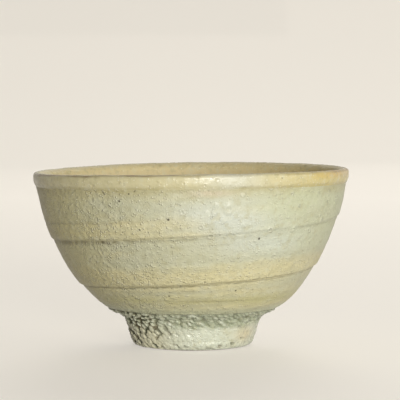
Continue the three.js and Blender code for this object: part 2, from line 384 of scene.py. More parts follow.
def fired_surface_group():
    """A fired surface, from Object coordinates: a soft mottle, a fine grain, sand, pinholes in some cells of
    a scatter, and burst bubbles in some cells of another, each a ring less a part of its hollow. The height
    adds sand and finer grit to orange peel, which is low at its cells' edges, and takes off the pinholes."""
    group = bpy.data.node_groups.new("Fired surface", "ShaderNodeTree")
    given_values = (
        ("Peel per metre", 420.0),
        ("Grain per metre", 1900.0),
        ("Sand per metre", 1000.0),
        ("Pinholes per metre", 330.0),
        ("Bubbles per metre", 230.0),
        ("Pinhole share", 0.06),
    )
    bubble_share = 0.22
    for name, default in given_values:
        socket = group.interface.new_socket(name, in_out="INPUT", socket_type="NodeSocketFloat")
        socket.default_value = default
    for name in ("Mottle", "Grain", "Sand", "Pinholes", "Bubbles", "Height"):
        group.interface.new_socket(name, in_out="OUTPUT", socket_type="NodeSocketFloat")
    given = group.nodes.new("NodeGroupInput").outputs
    place = node(group, "TexCoord", 3)
    mottle = node(group, "TexNoise", 0, Vector=place, Scale=260.0, Detail=4.0, Roughness=0.6)
    peel = node(group, "TexVoronoi", 0, Vector=place, Scale=given["Peel per metre"])
    peel.node.feature = "SMOOTH_F1"
    grain_scale = given["Grain per metre"]
    grain = node(group, "TexNoise", 0, Vector=place, Scale=grain_scale, Detail=1.0, Roughness=0.5)
    sand = grains(group, place, given["Sand per metre"], 0.55, 1.6, -0.4)
    grit = grains(group, place, grain_scale, 0.6, 2.0, -1.0)
    distance, number, other_number = cells(group, place, given["Pinholes per metre"])
    size = math(group, "MULTIPLY_ADD", other_number, 0.08, 0.06)
    hollow = mask(group, math(group, "DIVIDE", distance, size), 1.3, 0.5)
    pinholes = math(group, "MULTIPLY", hollow, math(group, "LESS_THAN", number, given["Pinhole share"]))
    distance, number, other_number = cells(group, place, given["Bubbles per metre"])
    size = math(group, "MULTIPLY_ADD", other_number, 0.16, 0.1)
    from_middle = math(group, "DIVIDE", distance, size)
    ring = math(group, "MULTIPLY", mask(group, from_middle, 1.7, 1.0), mask(group, from_middle, 0.5, 1.0))
    bubbles = math(group, "MULTIPLY_ADD", mask(group, from_middle, 0.9, 0.3), -0.35, ring)
    bubbles = math(group, "MULTIPLY", bubbles, math(group, "LESS_THAN", number, bubble_share))
    height = math(group, "MULTIPLY_ADD", peel, -0.4, math(group, "MULTIPLY", grit, 0.2))
    height = math(group, "MULTIPLY_ADD", sand, 0.42, height)
    height = math(group, "MULTIPLY_ADD", pinholes, -0.4, height)
    out = group.nodes.new("NodeGroupOutput").inputs
    made = {"Mottle": mottle, "Grain": grain, "Sand": sand, "Pinholes": pinholes, "Bubbles": bubbles}
    for name, value in {**made, "Height": height}.items():
        group.links.new(value, out[name])
    return group


fired_surface = fired_surface_group()


def fired_material(name, settings):
    """A material with a Principled shader and the fired surface group, which takes these settings."""
    material = bpy.data.materials.new(name)
    material.use_nodes = True
    tree = material.node_tree
    surface = tree.nodes.new("ShaderNodeGroup")
    surface.node_tree = fired_surface
    for setting, value in settings.items():
        surface.inputs[setting].default_value = value
    return material, tree, tree.nodes["Principled BSDF"], surface.outputs


def give_surface(tree, shader, body, roughness, height, strength, distance):
    """Gives the shader its colour and roughness, and a bump of that strength and distance."""
    bump = node(tree, "Bump", 0, Strength=strength, Distance=distance, Height=height)
    for name, value in (("Base Color", body), ("Normal", bump), ("Roughness", roughness)):
        feed(tree, shader.inputs[name], value)


def clay_material():
    """Buff stoneware in drifting browns, with coarse sand and open pores, dry and rough."""
    settings = {"Peel per metre": 1100.0, "Pinholes per metre": 700.0}
    material, tree, shader, surface = fired_material("Buff clay", settings)
    light_patch = mask(tree, surface["Mottle"], 0.38, 0.62)
    body = tint(tree, colour(0.42, 0.31, 0.2), colour(0.53, 0.41, 0.28), light_patch)
    body = tint(tree, body, colour(0.27, 0.18, 0.1), mask(tree, surface["Grain"], 0.5, 0.3), 0.6)
    body = tint(tree, body, colour(0.1, 0.06, 0.03), surface["Pinholes"], 0.8)
    give_surface(tree, shader, body, 0.9, surface["Height"], 0.8, 0.25 * mm)
    return material


buff_clay = clay_material()
thrown_bowl.data.materials.append(buff_clay)
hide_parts("thrown_bowl")
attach(thrown_bowl, "root")

# Foot ring
# A ring of the same clay, luted under the bowl and turned with a bamboo knife, which leaves fine rings.
# Its outer edge is worn round, and its resting face is wiped bare of glaze.
rest_width = 2.8 * mm
well_top = np.array([37.2 / 2 * mm, seat_height])
well_mouth = np.array([39 / 2, 1.6]) * mm
rest_inner = foot_base[0] - foot_edge_width - rest_width
knife_mark = 0.06 * mm
knife_clearance = 0.3 * mm


def lattice_noise(turn, along, around, spacing, seed):
    """Smooth random values from -1 to 1: a lattice with so many knots in a turn and one every spacing along,
    eased between knots by 3f^2 - 2f^3. It closes round the bowl."""
    count = int(np.ceil(np.max(along) / spacing)) + 3
    knots = np.random.default_rng(seed).uniform(-1, 1, (around, count))
    u, v = np.broadcast_arrays((turn % 1) * around, along / spacing)
    i = np.floor(u).astype(int)
    j = np.floor(v).astype(int)
    share_u = ease(u - i, 0, 1)
    share_v = ease(v - j, 0, 1)
    low = knots[i % around, j] * (1 - share_u) + knots[(i + 1) % around, j] * share_u
    high = knots[i % around, j + 1] * (1 - share_u) + knots[(i + 1) % around, j + 1] * share_u
    return low * (1 - share_v) + high * share_v


def ring_profile():
    """The ring's section, closed: up the outside, in over the seat, down the hollow's side and back."""
    outside_at = np.concatenate([np.linspace(0, edge_end, 24), np.linspace(edge_end, seat_end, 24)[1:]])
    outside = points_at(outside_at, outline_at, outline)
    inside = [bezier(outside[-1], well_top)[::40], bezier(well_top, well_mouth)[1::20]]
    base = bezier([rest_inner, 0], outside[0])[::20]
    bevel = bezier(well_mouth, [rest_inner, 0])[1:-1:60]
    return np.concatenate([outside, *inside, bevel, base, outside[:1]])


ring_turn = np.linspace(0, 1, 361)
ring = ring_profile()
knife = knife_mark * lattice_noise(ring_turn, arc_length(ring)[:, None], 5, 0.7 * mm, 11)
knife *= np.abs(ring[:, 1:] - seat_height / 2) < seat_height / 2 - knife_clearance
foot_ring = turned_mesh("foot_ring_clay", turned(ring_turn, ring[:, :1] + knife, ring[:, 1:]))
foot_ring.data.materials.append(buff_clay)
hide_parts("foot_ring")
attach(foot_ring, "root")

# Outer glaze
# A semi-matte ash glaze, dipped over the outside and half a millimetre deep. It breaks to straw where it is
# thin over the ledges and stays grey-green between them. The groove is painted dark as the shadow under its
# ledge. Bubbles left craters.
least_glaze = 0.1 * mm
groove_depth = 0.28 * mm
lump_height = 0.1 * mm
throwing_line = 0.09 * mm
crater_depth = 0.1 * mm
crater_rim = 0.12 * mm
blister_height = 0.2 * mm
burst_height = 0.5 * mm
ledge_fill = 0.3 * mm
sheen_ripple = 0.12 * mm
helix_turns = 8


def bell(value, centre, spread):
    """1 at the centre, falling away on both sides as a Gaussian of that spread."""
    return np.exp(-(((value - centre) / spread) ** 2))


def bell_round(turn, centre, spread):
    """The same round the bowl, in shares of a turn."""
    return bell((turn - centre + 0.5) % 1, 0.5, spread)


def near_points(u, v, around, seed):
    """A point lies somewhere in each cell of a lattice that closes round the bowl. For each of nine cells
    about a place: the way from the place to the point, in cells across and up, and its own random number."""
    count = int(np.ceil(np.max(v))) + 3
    shift_u, shift_v, numbers = np.random.default_rng(seed).uniform(0, 1, (3, around, count))
    i = np.floor(u).astype(int)
    j = np.floor(v).astype(int)
    for step_u in (-1, 0, 1):
        for step_v in (-1, 0, 1):
            cell = ((i + step_u) % around, j + step_v)
            yield i + step_u + shift_u[cell] - u, j + step_v + shift_v[cell] - v, numbers[cell]


def scatter(turn, along, radius, around, spacing, seed):
    """The distance to the nearest of a scatter of points round the bowl, and that point's own number."""
    u, v, girth = np.broadcast_arrays((turn % 1) * around, along / spacing + 1, 2 * np.pi * radius)
    nearest = np.full(u.shape, np.inf)
    nearest_number = np.zeros(u.shape)
    for across, up, number in near_points(u, v, around, seed):
        distance = np.hypot(across * girth / around, up * spacing)
        nearest_number = np.where(distance < nearest, number, nearest_number)
        nearest = np.minimum(nearest, distance)
    return nearest, nearest_number


def craters(turn, along, around, spacing, seed):
    """Burst bubbles of mixed sizes in four cells of ten: the hollow, 1 at its middle, and the raised rim."""
    distance, number = scatter(turn, along, radius_at(along), around, spacing, seed)
    is_burst = number > 0.6
    size = (0.3 + 0.75 * number ** 2) * mm
    hollow = np.maximum(0, 1 - (distance / size) ** 2) * is_burst
    rim = bell(distance / size, 1.1, 0.35) * is_burst
    return hollow, rim


def coat_rows(over, under):
    """Rows for a closed coat, up the glaze's face and back on the clay's, and 1 on the glaze's own rows."""
    rows = np.concatenate([over, under[::-1], over[:1]])
    is_over = np.concatenate([np.ones(len(over)), np.zeros(len(under)), np.ones(1)])
    return rows, is_over[:, None]


def noise_over(turn, along):
    """The lattice's smooth random values over a coat's own grid, for any knots, spacing and seed."""
    return lambda around, spacing, seed: lattice_noise(turn, along, around, spacing, seed)


outer_turn = np.linspace(0, 1, 721)
fine_shares = np.concatenate([np.linspace(-0.025, 0.065, 11), np.linspace(0.065, 0.975, 32)[1:-1]])
outer_rows, outer_over = coat_rows(
    spiral_rows(fine_shares, outer_turn), spiral_rows(bowl_shares[::3], outer_turn)
)
outer_laps = laps_at(outer_turn, outer_rows)
outer_lap = np.floor(outer_laps + 1e-6)
outer_share = outer_laps - outer_lap
from_groove = np.where(outer_share > 0.5, outer_share - 1, outer_share) * spiral_pitch
groove_wind = outer_lap + (outer_share > 0.5) + outer_turn
along_helix = (outer_lap + outer_turn + 3) / helix_turns
above_root = outer_rows - root_end
below_neck = wall_end - outer_rows
outer_noise = noise_over(outer_turn, outer_rows)


def helix_noise(knots_per_turn, knots_per_lap, seed):
    """Smooth random values that run along the groove, as the marks of fingers do."""
    return lattice_noise(along_helix, outer_share, knots_per_turn * helix_turns, 1 / knots_per_lap, seed)


crest_middle = (band_end + crest_end) / 2
roll_depth = 0.25 * mm
crest_thinning = 0.06 * mm
level_width = 81
levelled_by = ((averaged(outline, level_width) - outline) * outward).sum(axis=1)


def lip_roll(along):
    """How much deeper or thinner the glaze lies about the lip. It levelled out the angle of the neck as it
    melted, to the outline's running average, and ran off the crest to hang in a roll at the band's foot."""
    level = np.interp(along, outline_at, levelled_by) * bell(along, wall_end + 0.8 * mm, 2.4 * mm)
    gathered = roll_depth * ease(along, wall_end - 0.3 * mm, neck_end + 0.8 * mm)
    drained = (roll_depth + crest_thinning) * ease(along, neck_end + 0.8 * mm, crest_middle + 0.5 * mm)
    evened = crest_thinning * ease(along, crest_end, lip_end - 0.5 * mm)
    return level + gathered - drained + evened


# Large burst bubbles under the lip: the turn from the front, the distance above the wall's root, the radius
burst_bubbles = [
    (0.038, 61.9 * mm, 1.6 * mm),
    (0.024, 60.6 * mm, 1.0 * mm),
    (0.026, 63.4 * mm, 0.9 * mm),
    (0.05, 61.6 * mm, 0.8 * mm),
    (0.034, 56.8 * mm, 0.7 * mm),
    (0.016, 60.4 * mm, 0.7 * mm),
    (0.055, 54.5 * mm, 0.8 * mm),
    (0.092, 57.5 * mm, 0.9 * mm),
    (0.118, 52.0 * mm, 0.9 * mm),
]

# The groove's painted shadow is sharp and dark low on the front, and softer where it climbs over the front
# again
low_turns = [-1, -0.3, 0, 0.03, 0.08, 0.13, 0.3, 0.75]
low_force = [0.2, 0.85, 1.0, 0.8, 0.6, 0.6, 0.85, 0.75]
high_turns = [0.88, 0.92, 0.965, 1.0, 1.04, 1.08, 1.13, 1.3, 1.7, 2]
high_force = [0.7, 0.6, 0.3, 0.4, 0.1, 0.05, 0.1, 0.3, 0.3, 0.1]
force = np.interp(groove_wind, low_turns + high_turns, low_force + high_force)
force = force * on_wall(outer_rows, ridge_fade)
force = force * (0.85 + 0.3 * outer_noise(210, 30 * mm, 21))
wander = 0.14 * mm * outer_noise(170, 40 * mm, 22)
groove_width = np.interp(groove_wind, [0.4, 0.75, 0.88, 1.02], [0.28 * mm, 1.3 * mm, 1.2 * mm, 0.35 * mm])
ragged = outer_noise(300, 1.2 * mm, 34) * ease(groove_width, 0.3 * mm, 0.9 * mm)
groove_middle = wander - 0.35 * mm - 0.25 * groove_width
groove = force * (1 + 0.5 * ragged) * bell(from_groove, groove_middle, groove_width)
filled_ledge = bell(groove_wind, 1.07, 0.055) * bell(from_groove, -0.4 * mm, 1.1 * mm)

crater_zone = 0.3 + 0.7 * bell_round(outer_turn, 0.1, 0.1) * ease(above_root, 40 * mm, 52 * mm)
crater_zone = np.clip(crater_zone + 0.4 * outer_noise(9, 16 * mm, 23), 0.1, 1)
hollow, rim = craters(outer_turn, outer_rows, 66, 6.6 * mm, 24)
blister_distance, blister_number = scatter(outer_turn, outer_rows, radius_at(outer_rows), 56, 7 * mm, 25)
blister = np.maximum(0, 1 - (blister_distance / (1.2 * mm)) ** 2) * (blister_number > 0.7)
to_right = np.sin(2 * np.pi * outer_turn)
left_side = ease(-to_right, 0, 0.7)
burst = np.zeros(outer_rows.shape)
for turn, above, radius in burst_bubbles:
    across = ((outer_turn - turn + 0.5) % 1 - 0.5) * 2 * np.pi * radius_at(outer_rows)
    burst = burst + bell(np.hypot(across, above_root - above) / radius, 1, 0.45)
cool_right = ease(to_right, -0.05, 0.25) * ease(above_root, 40 * mm, 48 * mm)
ledge_straw = (1 - ease(outer_share, 0.26, 0.56)) * (1 - 0.95 * cool_right)
second_line = bell(outer_share, 0.36, 0.018) * left_side * ease(above_root, 40 * mm, 48 * mm)
sheen = bell_round(outer_turn, 0.034, 0.045) * bell(above_root, 59 * mm, 7 * mm)
outer_relief = (
    lump_height * outer_noise(30, 13 * mm, 26)
    + throwing_line * helix_noise(7, 14, 27)
    + blister_height * blister * crater_zone
    + (crater_rim * rim - crater_depth * hollow) * crater_zone
    + ledge_fill * filled_ledge
    + sheen_ripple * sheen * outer_noise(150, 2.6 * mm, 35)
    + burst_height * burst
    - groove_depth * (groove + 0.4 * second_line)
)
outer_depth = np.maximum(glaze + outer_relief * on_wall(outer_rows, 1.5 * mm), least_glaze)
outer_depth = ridge(outer_turn, outer_rows) + outer_over * (outer_depth + lip_roll(outer_rows))

right_side = ease(to_right, 0.25, 0.65)
streak = helix_noise(9, 12, 29)
drift = outer_noise(14, 9 * mm, 30) + outer_noise(70, 3 * mm, 33)
low_straw = 1 - ease(above_root, 20 * mm, 44 * mm)
straw = 0.85 * ledge_straw + 0.6 * low_straw + 0.3 * streak + 0.25 * drift - 0.1
# The cool mask: partly a bluish glaze, partly a painted sheen where the window's highlight falls below the
# lip, with a second patch under the upper groove.
cool = 1.2 * sheen
cool = cool + 0.75 * bell_round(outer_turn, 0.085, 0.05) * bell(above_root, 46 * mm, 7 * mm)
cool = cool * (0.8 + 0.4 * outer_noise(26, 6 * mm, 31))
# Coarse: more bump, and more sand with its painted glints, on the left and over the straw ledges; less in
# the sheen
coarse = 0.34 + 0.4 * left_side + 0.16 * ledge_straw - 0.05 * cool_right - 0.15 * sheen
green = right_side * ease(above_root, 36 * mm, 46 * mm) * (0.8 + 0.2 * drift)
# Painted shade: the left side, turned from the window, is tinted a browner yellow
warm = ease(-to_right, 0.4, 0.95)
olive = bell(above_root, 14.5 * mm, 3.5 * mm) * (0.6 + 0.4 * streak + 0.3 * right_side)
faint_line = 0.4 * bell(above_root, 14.6 * mm, 0.45 * mm) * bell_round(outer_turn, 0.02, 0.09)
pale_foot = 1 - ease(above_root, 6 * mm, 12 * mm)
# Rust under the lip, with painted shade in the neck's hollow under the band, heavier on the left
rust = ease(5.5 * mm - below_neck, 0, 5 * mm) * (0.65 + 0.35 * left_side)
rust = rust * (0.8 + 0.5 * outer_noise(42, 3 * mm, 32))

outer_glaze = turned_mesh(
    "outer_ash_glaze",
    skin(outer_turn, outer_rows, outer_depth),
    straw=straw,
    cool=cool,
    green=green,
    warm=warm,
    olive=olive,
    pale=pale_foot,
    rust=rust,
    # The groove mask paints the shadow under the ledge, with a faint line low on the wall and a second line
    # on the left
    groove=groove + faint_line + 0.3 * second_line,
    crater=hollow * crater_zone,
    bubbly=crater_zone,
    coarse=coarse,
    flush=bell_round(outer_turn, 0.02, 0.02) * bell(below_neck, 2 * mm, 1.5 * mm),
)

# Iron specks: the turn from the front, the distance above the wall's root, the radius
iron_specks = [
    (0.076, 48.0 * mm, 0.65 * mm),
    (-0.022, 57.7 * mm, 0.6 * mm),
    (-0.072, 65.8 * mm, 0.55 * mm),
    (-0.061, 69 * mm, 0.45 * mm),
    (-0.053, 53 * mm, 0.45 * mm),
    (-0.032, 17.9 * mm, 0.5 * mm),
    (0.062, 20.9 * mm, 0.5 * mm),
]


def tinted(tree, body, layers):
    """A colour with others laid over it in turn, each by a mask that the mesh carries and a strength."""
    for name, over, strength in layers:
        body = tint(tree, body, over, carried(tree, name), strength)
    return body


def speckled(tree, body, surface, sandy):
    """A glaze colour with its mottle, its sand by a share, and its pinholes laid over it. Its light sand is
    partly painted glints.
    """
    light_sand = math(tree, "MULTIPLY", mask(tree, surface["Sand"], 0.15, 0.85), sandy)
    dark_sand = math(tree, "MULTIPLY", mask(tree, surface["Sand"], -0.1, -0.8), sandy)
    body = tint(tree, body, colour(0.49, 0.46, 0.27), mask(tree, surface["Mottle"], 0.5, 0.32), 0.4)
    body = tint(tree, body, colour(0.68, 0.68, 0.52), mask(tree, surface["Mottle"], 0.5, 0.68), 0.35)
    body = tint(tree, body, colour(0.9, 0.88, 0.72), light_sand, 0.9)
    body = tint(tree, body, colour(0.32, 0.3, 0.16), dark_sand, 0.7)
    return tint(tree, body, colour(0.26, 0.23, 0.12), surface["Pinholes"], 0.5)


def ash_glaze_material():
    """Grey-green, straw, green and olive by the mesh's masks, with a bluish glaze and a painted sheen below
    the lip, rusty and painted shade under the lip, a browner painted shade on the left, and dark in the
    groove as painted shadow.
    """
    material, tree, shader, surface = fired_material("Ash glaze", {})
    drifts = (
        ("straw", colour(0.7, 0.65, 0.395), 1.0),
        ("green", colour(0.585, 0.62, 0.425), 0.85),
        # Painted shade on the left
        ("warm", colour(0.6, 0.545, 0.265), 0.75),
        # A bluish glaze colour with a painted sheen
        ("cool", colour(0.675, 0.73, 0.69), 0.95),
        ("olive", colour(0.575, 0.55, 0.28), 0.9),
        ("pale", colour(0.64, 0.68, 0.48), 0.75),
        # Rust with painted shade under the lip
        ("rust", colour(0.48, 0.43, 0.22), 0.85),
        ("flush", colour(0.66, 0.55, 0.4), 0.6),
    )
    # The groove is painted dark as the shadow under its ledge; the craters' hollows are a little darker
    hollows = (("groove", colour(0.17, 0.14, 0.065), 0.9), ("crater", colour(0.46, 0.43, 0.27), 0.1))
    body = tinted(tree, colour(0.58, 0.58, 0.41), drifts)
    body = speckled(tree, body, surface, carried(tree, "coarse"))
    body = tinted(tree, body, hollows)
    place = node(tree, "TexCoord", 3)
    for turn, above, radius in iron_specks:
        along = root_end + above
        centre = skin(np.array(turn), np.array(along), glaze + ridge(turn, along))
        away = node(tree, "VectorMath", 0, _0=place, _1=centre).node
        away.operation = "DISTANCE"
        speck = mask(tree, away.outputs["Value"], 1.2 * radius, 0.5 * radius)
        body = tint(tree, body, colour(0.05, 0.04, 0.02), speck, 0.9)
    bubbles = math(tree, "MULTIPLY", surface["Bubbles"], carried(tree, "bubbly"))
    # Painted glints: the rims of burst bubbles are laid over in a light colour
    body = tint(tree, body, colour(0.8, 0.81, 0.68), mask(tree, bubbles, 0.2, 0.9), 0.3)
    coarseness = math(tree, "MULTIPLY_ADD", carried(tree, "coarse"), 1.3, 0.2)
    height = math(tree, "MULTIPLY", surface["Height"], coarseness)
    height = math(tree, "MULTIPLY_ADD", bubbles, 0.28, height)
    roughness = math(tree, "MULTIPLY_ADD", surface["Mottle"], 0.3, 0.24)
    roughness = math(tree, "MULTIPLY_ADD", carried(tree, "cool"), -0.18, roughness)
    give_surface(tree, shader, body, roughness, height, 1.0, 1.0 * mm)
    shader.inputs["Specular IOR Level"].default_value = 0.35
    return material


ash_glaze = ash_glaze_material()
outer_glaze.data.materials.append(ash_glaze)
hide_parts("outer_glaze")
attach(outer_glaze, "root")

# Lip glaze
# The same dip drains off the lip, so the coat is thin at its crest: warm cream over the band, toasted on the
# side that faced the flame, and a brown line of bare iron along most of the crest.
lip_lump = 0.12 * mm
lip_ripple = 0.06 * mm
lip_crater_depth = 0.16 * mm
lip_crater_rim = 0.06 * mm
crest_width = 0.42 * mm
crest_turns = [0, 0.03, 0.1, 0.2, 0.3, 0.5, 0.7, 0.95]
crest_force = [0.55, 0.2, 0.35, 0.55, 0.5, 0.65, 0.95, 0.85]
toast_turn = 0.17


def straight_coat(from_along, to_along, over_count, under_count, turn):
    """Rows for a closed coat over one stretch of the outline, so many on the glaze's face and the clay's."""
    over = straight_rows(from_along, to_along, over_count, turn)
    return coat_rows(over, straight_rows(from_along, to_along, under_count, turn))


rim_turn = np.linspace(0, 1, 901)
rim_rows, rim_over = straight_coat(wall_end, lip_end, 70, 14, rim_turn)
rim_noise = noise_over(rim_turn, rim_rows)
rim_fade = ease(rim_rows, wall_end, wall_end + 0.8 * mm) * (1 - ease(rim_rows, lip_end - 0.8 * mm, lip_end))
rim_hollow, rim_rim = craters(rim_turn, rim_rows, 150, 3 * mm, 41)
rim_relief = (
    lip_lump * rim_noise(44, 5 * mm, 42)
    + lip_ripple * rim_noise(300, 1.4 * mm, 43)
    + lip_crater_rim * rim_rim
    - lip_crater_depth * rim_hollow
)
one_row = np.zeros(rim_rows.shape)
crest_at = crest_middle + 0.3 * mm * lattice_noise(rim_turn, one_row, 46, 5 * mm, 44)
crest_line = bell(rim_rows, crest_at, crest_width) * np.interp(rim_turn, crest_turns, crest_force, period=1)
crest_line = crest_line * (0.8 + 0.35 * lattice_noise(rim_turn, one_row, 120, 5 * mm, 45))
neck_patch = rim_noise(60, 1.2 * mm, 47)
toast_patch = 0.8 + 0.4 * rim_noise(50, 2.5 * mm, 46)
toast = bell_round(rim_turn, toast_turn, 0.075) * toast_patch
peach = bell_round(rim_turn, 0.205, 0.05) * ease(rim_rows, neck_end, crest_middle) * toast_patch
rim_depth = np.maximum(glaze + rim_relief * rim_fade, least_glaze) + lip_roll(rim_rows)
rim_glaze = turned_mesh(
    "lip_glaze",
    skin(rim_turn, rim_rows, rim_over * rim_depth),
    crest=crest_line,
    toast=toast,
    peach=peach,
    # A painted highlight: whiter and cooler where the window's highlight falls on the lip
    bloom=bell_round(rim_turn, 0.042, 0.03),
    inner=ease(rim_rows, crest_middle + 1 * mm, slope_end),
    neck=(1 - ease(rim_rows, wall_end + 0.5 * mm, wall_end + 1.8 * mm)) * (0.6 + 0.5 * neck_patch),
    crater=rim_hollow,
)


def lip_glaze_material():
    """Warm cream, toasted or peachy by the mesh's masks, with a painted highlight, whiter and cooler, at the
    front, drier and beige on the inner slope, olive in the angle of the neck and brown along the crest."""
    material, tree, shader, surface = fired_material("Lip glaze", {"Pinhole share": 0.15})
    drifts = (
        ("toast", colour(0.68, 0.555, 0.2), 0.95),
        ("peach", colour(0.7, 0.46, 0.21), 0.7),
        ("bloom", colour(0.7, 0.71, 0.6), 0.7),
        # Painted highlight
        ("inner", colour(0.76, 0.65, 0.36), 0.85),
        ("neck", colour(0.42, 0.38, 0.18), 0.6),
    )
    thin_places = (("crest", colour(0.2, 0.125, 0.055), 0.92), ("crater", colour(0.36, 0.28, 0.14), 0.2))
    body = tinted(tree, colour(0.65, 0.6, 0.365), drifts)
    body = speckled(tree, body, surface, 0.6)
    body = tinted(tree, body, thin_places)
    roughness = math(tree, "MULTIPLY_ADD", carried(tree, "inner"), 0.35, 0.25)
    give_surface(tree, shader, body, roughness, surface["Height"], 1.0, 0.28 * mm)
    return material


rim_glaze.data.materials.append(lip_glaze_material())
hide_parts("rim_glaze")
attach(rim_glaze, "root")

# Inside glaze
# The dip's inside coat, warm beige on the wall. It ran down while it melted and pooled grey-green on the
# floor, over the last faint rings of the thrower's finger.
pool_radius = 24 * mm
finger_pitch = 15 * mm
finger_height = 0.2 * mm
liner_lump = 0.08 * mm
liner_crater_depth = 0.16 * mm
liner_crater_rim = 0.05 * mm

liner_turn = np.linspace(0, 1, 601)
liner_rows, liner_over = straight_coat(lip_end, outline_end, 110, 24, liner_turn)
liner_noise = noise_over(liner_turn, liner_rows)
liner_radius = radius_at(liner_rows)
liner_fade = ease(liner_rows, lip_end, lip_end + 1 * mm) * ease(liner_radius, 0, 4 * mm)
liner_hollow, liner_rim = craters(liner_turn, liner_rows, 40, 11 * mm, 51)
finger_ring = np.cos(2 * np.pi * ((liner_rows - lip_end) / finger_pitch - liner_turn))
finger_ring = finger_ring * ease(liner_rows, lip_end + 12 * mm, lip_end + 40 * mm)
liner_relief = (
    finger_height * finger_ring
    + liner_lump * liner_noise(26, 14 * mm, 52)
    + liner_crater_rim * liner_rim
    - liner_crater_depth * liner_hollow
)
pool_edge = liner_radius + 3 * mm * liner_noise(12, 8 * mm, 53)
liner_straw = 0.7 - 0.25 * finger_ring + 0.5 * liner_noise(5, 1.8 * mm, 54)
liner_glaze = turned_mesh(
    "inside_glaze",
    skin(liner_turn, liner_rows, liner_over * (glaze + liner_relief * liner_fade)),
    straw=liner_straw,
    pooled=1 - ease(pool_edge, 12 * mm, pool_radius),
    crater=liner_hollow * liner_fade,
)


def inside_glaze_material():
    """Beige to straw by the mesh's mask, and a glossier grey-green where the glaze pooled on the floor."""
    material, tree, shader, surface = fired_material("Inside glaze", {"Pinhole share": 0.1})
    drifts = (("straw", colour(0.735, 0.625, 0.345), 1.0), ("pooled", colour(0.42, 0.45, 0.31), 0.7))
    body = tinted(tree, colour(0.73, 0.64, 0.4), drifts)
    body = speckled(tree, body, surface, 0.3)
    body = tint(tree, body, colour(0.36, 0.31, 0.18), carried(tree, "crater"), 0.5)
    roughness = math(tree, "MULTIPLY_ADD", carried(tree, "pooled"), -0.36, 0.68)
    give_surface(tree, shader, body, roughness, surface["Height"], 0.5, 0.16 * mm)
    return material


liner_glaze.data.materials.append(inside_glaze_material())
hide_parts("liner_glaze")
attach(liner_glaze, "root")

# Crawled glaze round the foot
# The coat is thick here over rough trimmed clay, so it drew back as it melted. On the left it set in beads
# with bare crevices between them, painted dark as shade. The rest is a white sheet, streaked in the angle
# under the bowl.
glaze_start = edge_end * 0.28
bead_height = 1.2 * mm
bead_cells = 78
bead_spacing = 2.6 * mm
bead_lean = 0.5
crevice_depth = 0.06 * mm
collar_step = 0.22 * mm
foot_ripple = 0.1 * mm
foot_streak_height = 0.15 * mm
foot_line_depth = 0.12 * mm
foot_line_height = 4.5 * mm
foot_crater_depth = 0.14 * mm
foot_crater_rim = 0.04 * mm
bead_turns = [0, 0.07, 0.2, 0.3, 0.45, 0.6, 0.72, 0.9, 0.95]
bead_force = [0.15, 0.1, 0.15, 0.45, 0.6, 0.45, 0.9, 1.0, 0.35]
streak_lean = 5.7
blush_turn = 0.15
blush_height = 7 * mm


def beads(turn, along, radius, crawl, fineness, seed):
    """Drops of glaze: the highest of 1 - (distance / size)^2 over the nearest points of a leaning scatter,
    where the distance is counted in widths of a cell both ways, and the sizes grow where the glaze crawled
    less, until the drops run together."""
    v = along / bead_spacing + 1
    u, v = np.broadcast_arrays((turn % 1) * bead_cells + bead_lean * v, v)
    cell_width = 2 * np.pi * radius / bead_cells
    highest = np.zeros(u.shape)
    for across, up, number in near_points(u, v, bead_cells, seed):
        size = (1.2 + 0.6 * number) * fineness * mm + 1.6 * mm * (1 - crawl) ** 2
        highest = np.maximum(highest, 1 - (across ** 2 + up ** 2) * (cell_width / size) ** 2)
    return highest


foot_turn = np.linspace(0, 1, 601)
foot_rows, foot_over = straight_coat(glaze_start, collar_end, 140, 14, foot_turn)
foot_noise = noise_over(foot_turn, foot_rows)
foot_height = height_at(foot_rows)
bead_side = np.interp(foot_turn, bead_turns, bead_force, period=1)
angle_edge = foot_rows + 1.3 * mm * foot_noise(64, 3 * mm, 61)
in_angle = ease(angle_edge, seat_end, side_end + 1.5 * mm)
crawl = bead_side + 0.35 * foot_noise(22, 4 * mm, 62)
low_edge = 1 - ease(foot_height, 3.2 * mm, 4.4 * mm)
crawl = np.clip(np.maximum(crawl, np.maximum(0.62 * in_angle, 0.6 * low_edge)), 0, 1)
crawl = crawl * ease(foot_rows, glaze_start, glaze_start + 1.2 * mm)
bead = beads(foot_turn, foot_rows, radius_at(foot_rows), crawl, 1 - 0.25 * in_angle, 63)
bead_depth = crevice_depth + bead_height * (0.5 + 0.5 * crawl) * np.sqrt(bead)
foot_hollow, foot_rim = craters(foot_turn, foot_rows, 60, 3.2 * mm, 64)
foot_streak = lattice_noise(foot_turn + streak_lean * foot_rows, foot_rows, 150, 4 * mm, 66)
foot_streak = ease(foot_streak, 0.15, 0.6) * in_angle
foot_relief = (
    foot_ripple * foot_noise(150, 1.1 * mm, 65)
    + foot_streak_height * foot_streak
    - foot_line_depth * bell(foot_height, foot_line_height, 0.3 * mm)
    + foot_crater_rim * foot_rim
    - foot_crater_depth * foot_hollow * bead
)
collar_edge = ease(foot_rows, collar_end - 1.2 * mm, collar_end - 0.2 * mm)
past_start = ease(foot_rows, glaze_start, glaze_start + 0.5 * mm)
foot_depth = glaze + (bead_depth + foot_relief - glaze) * past_start
foot_depth = np.maximum(foot_depth * (1 - collar_edge) + collar_step * collar_edge, crevice_depth)
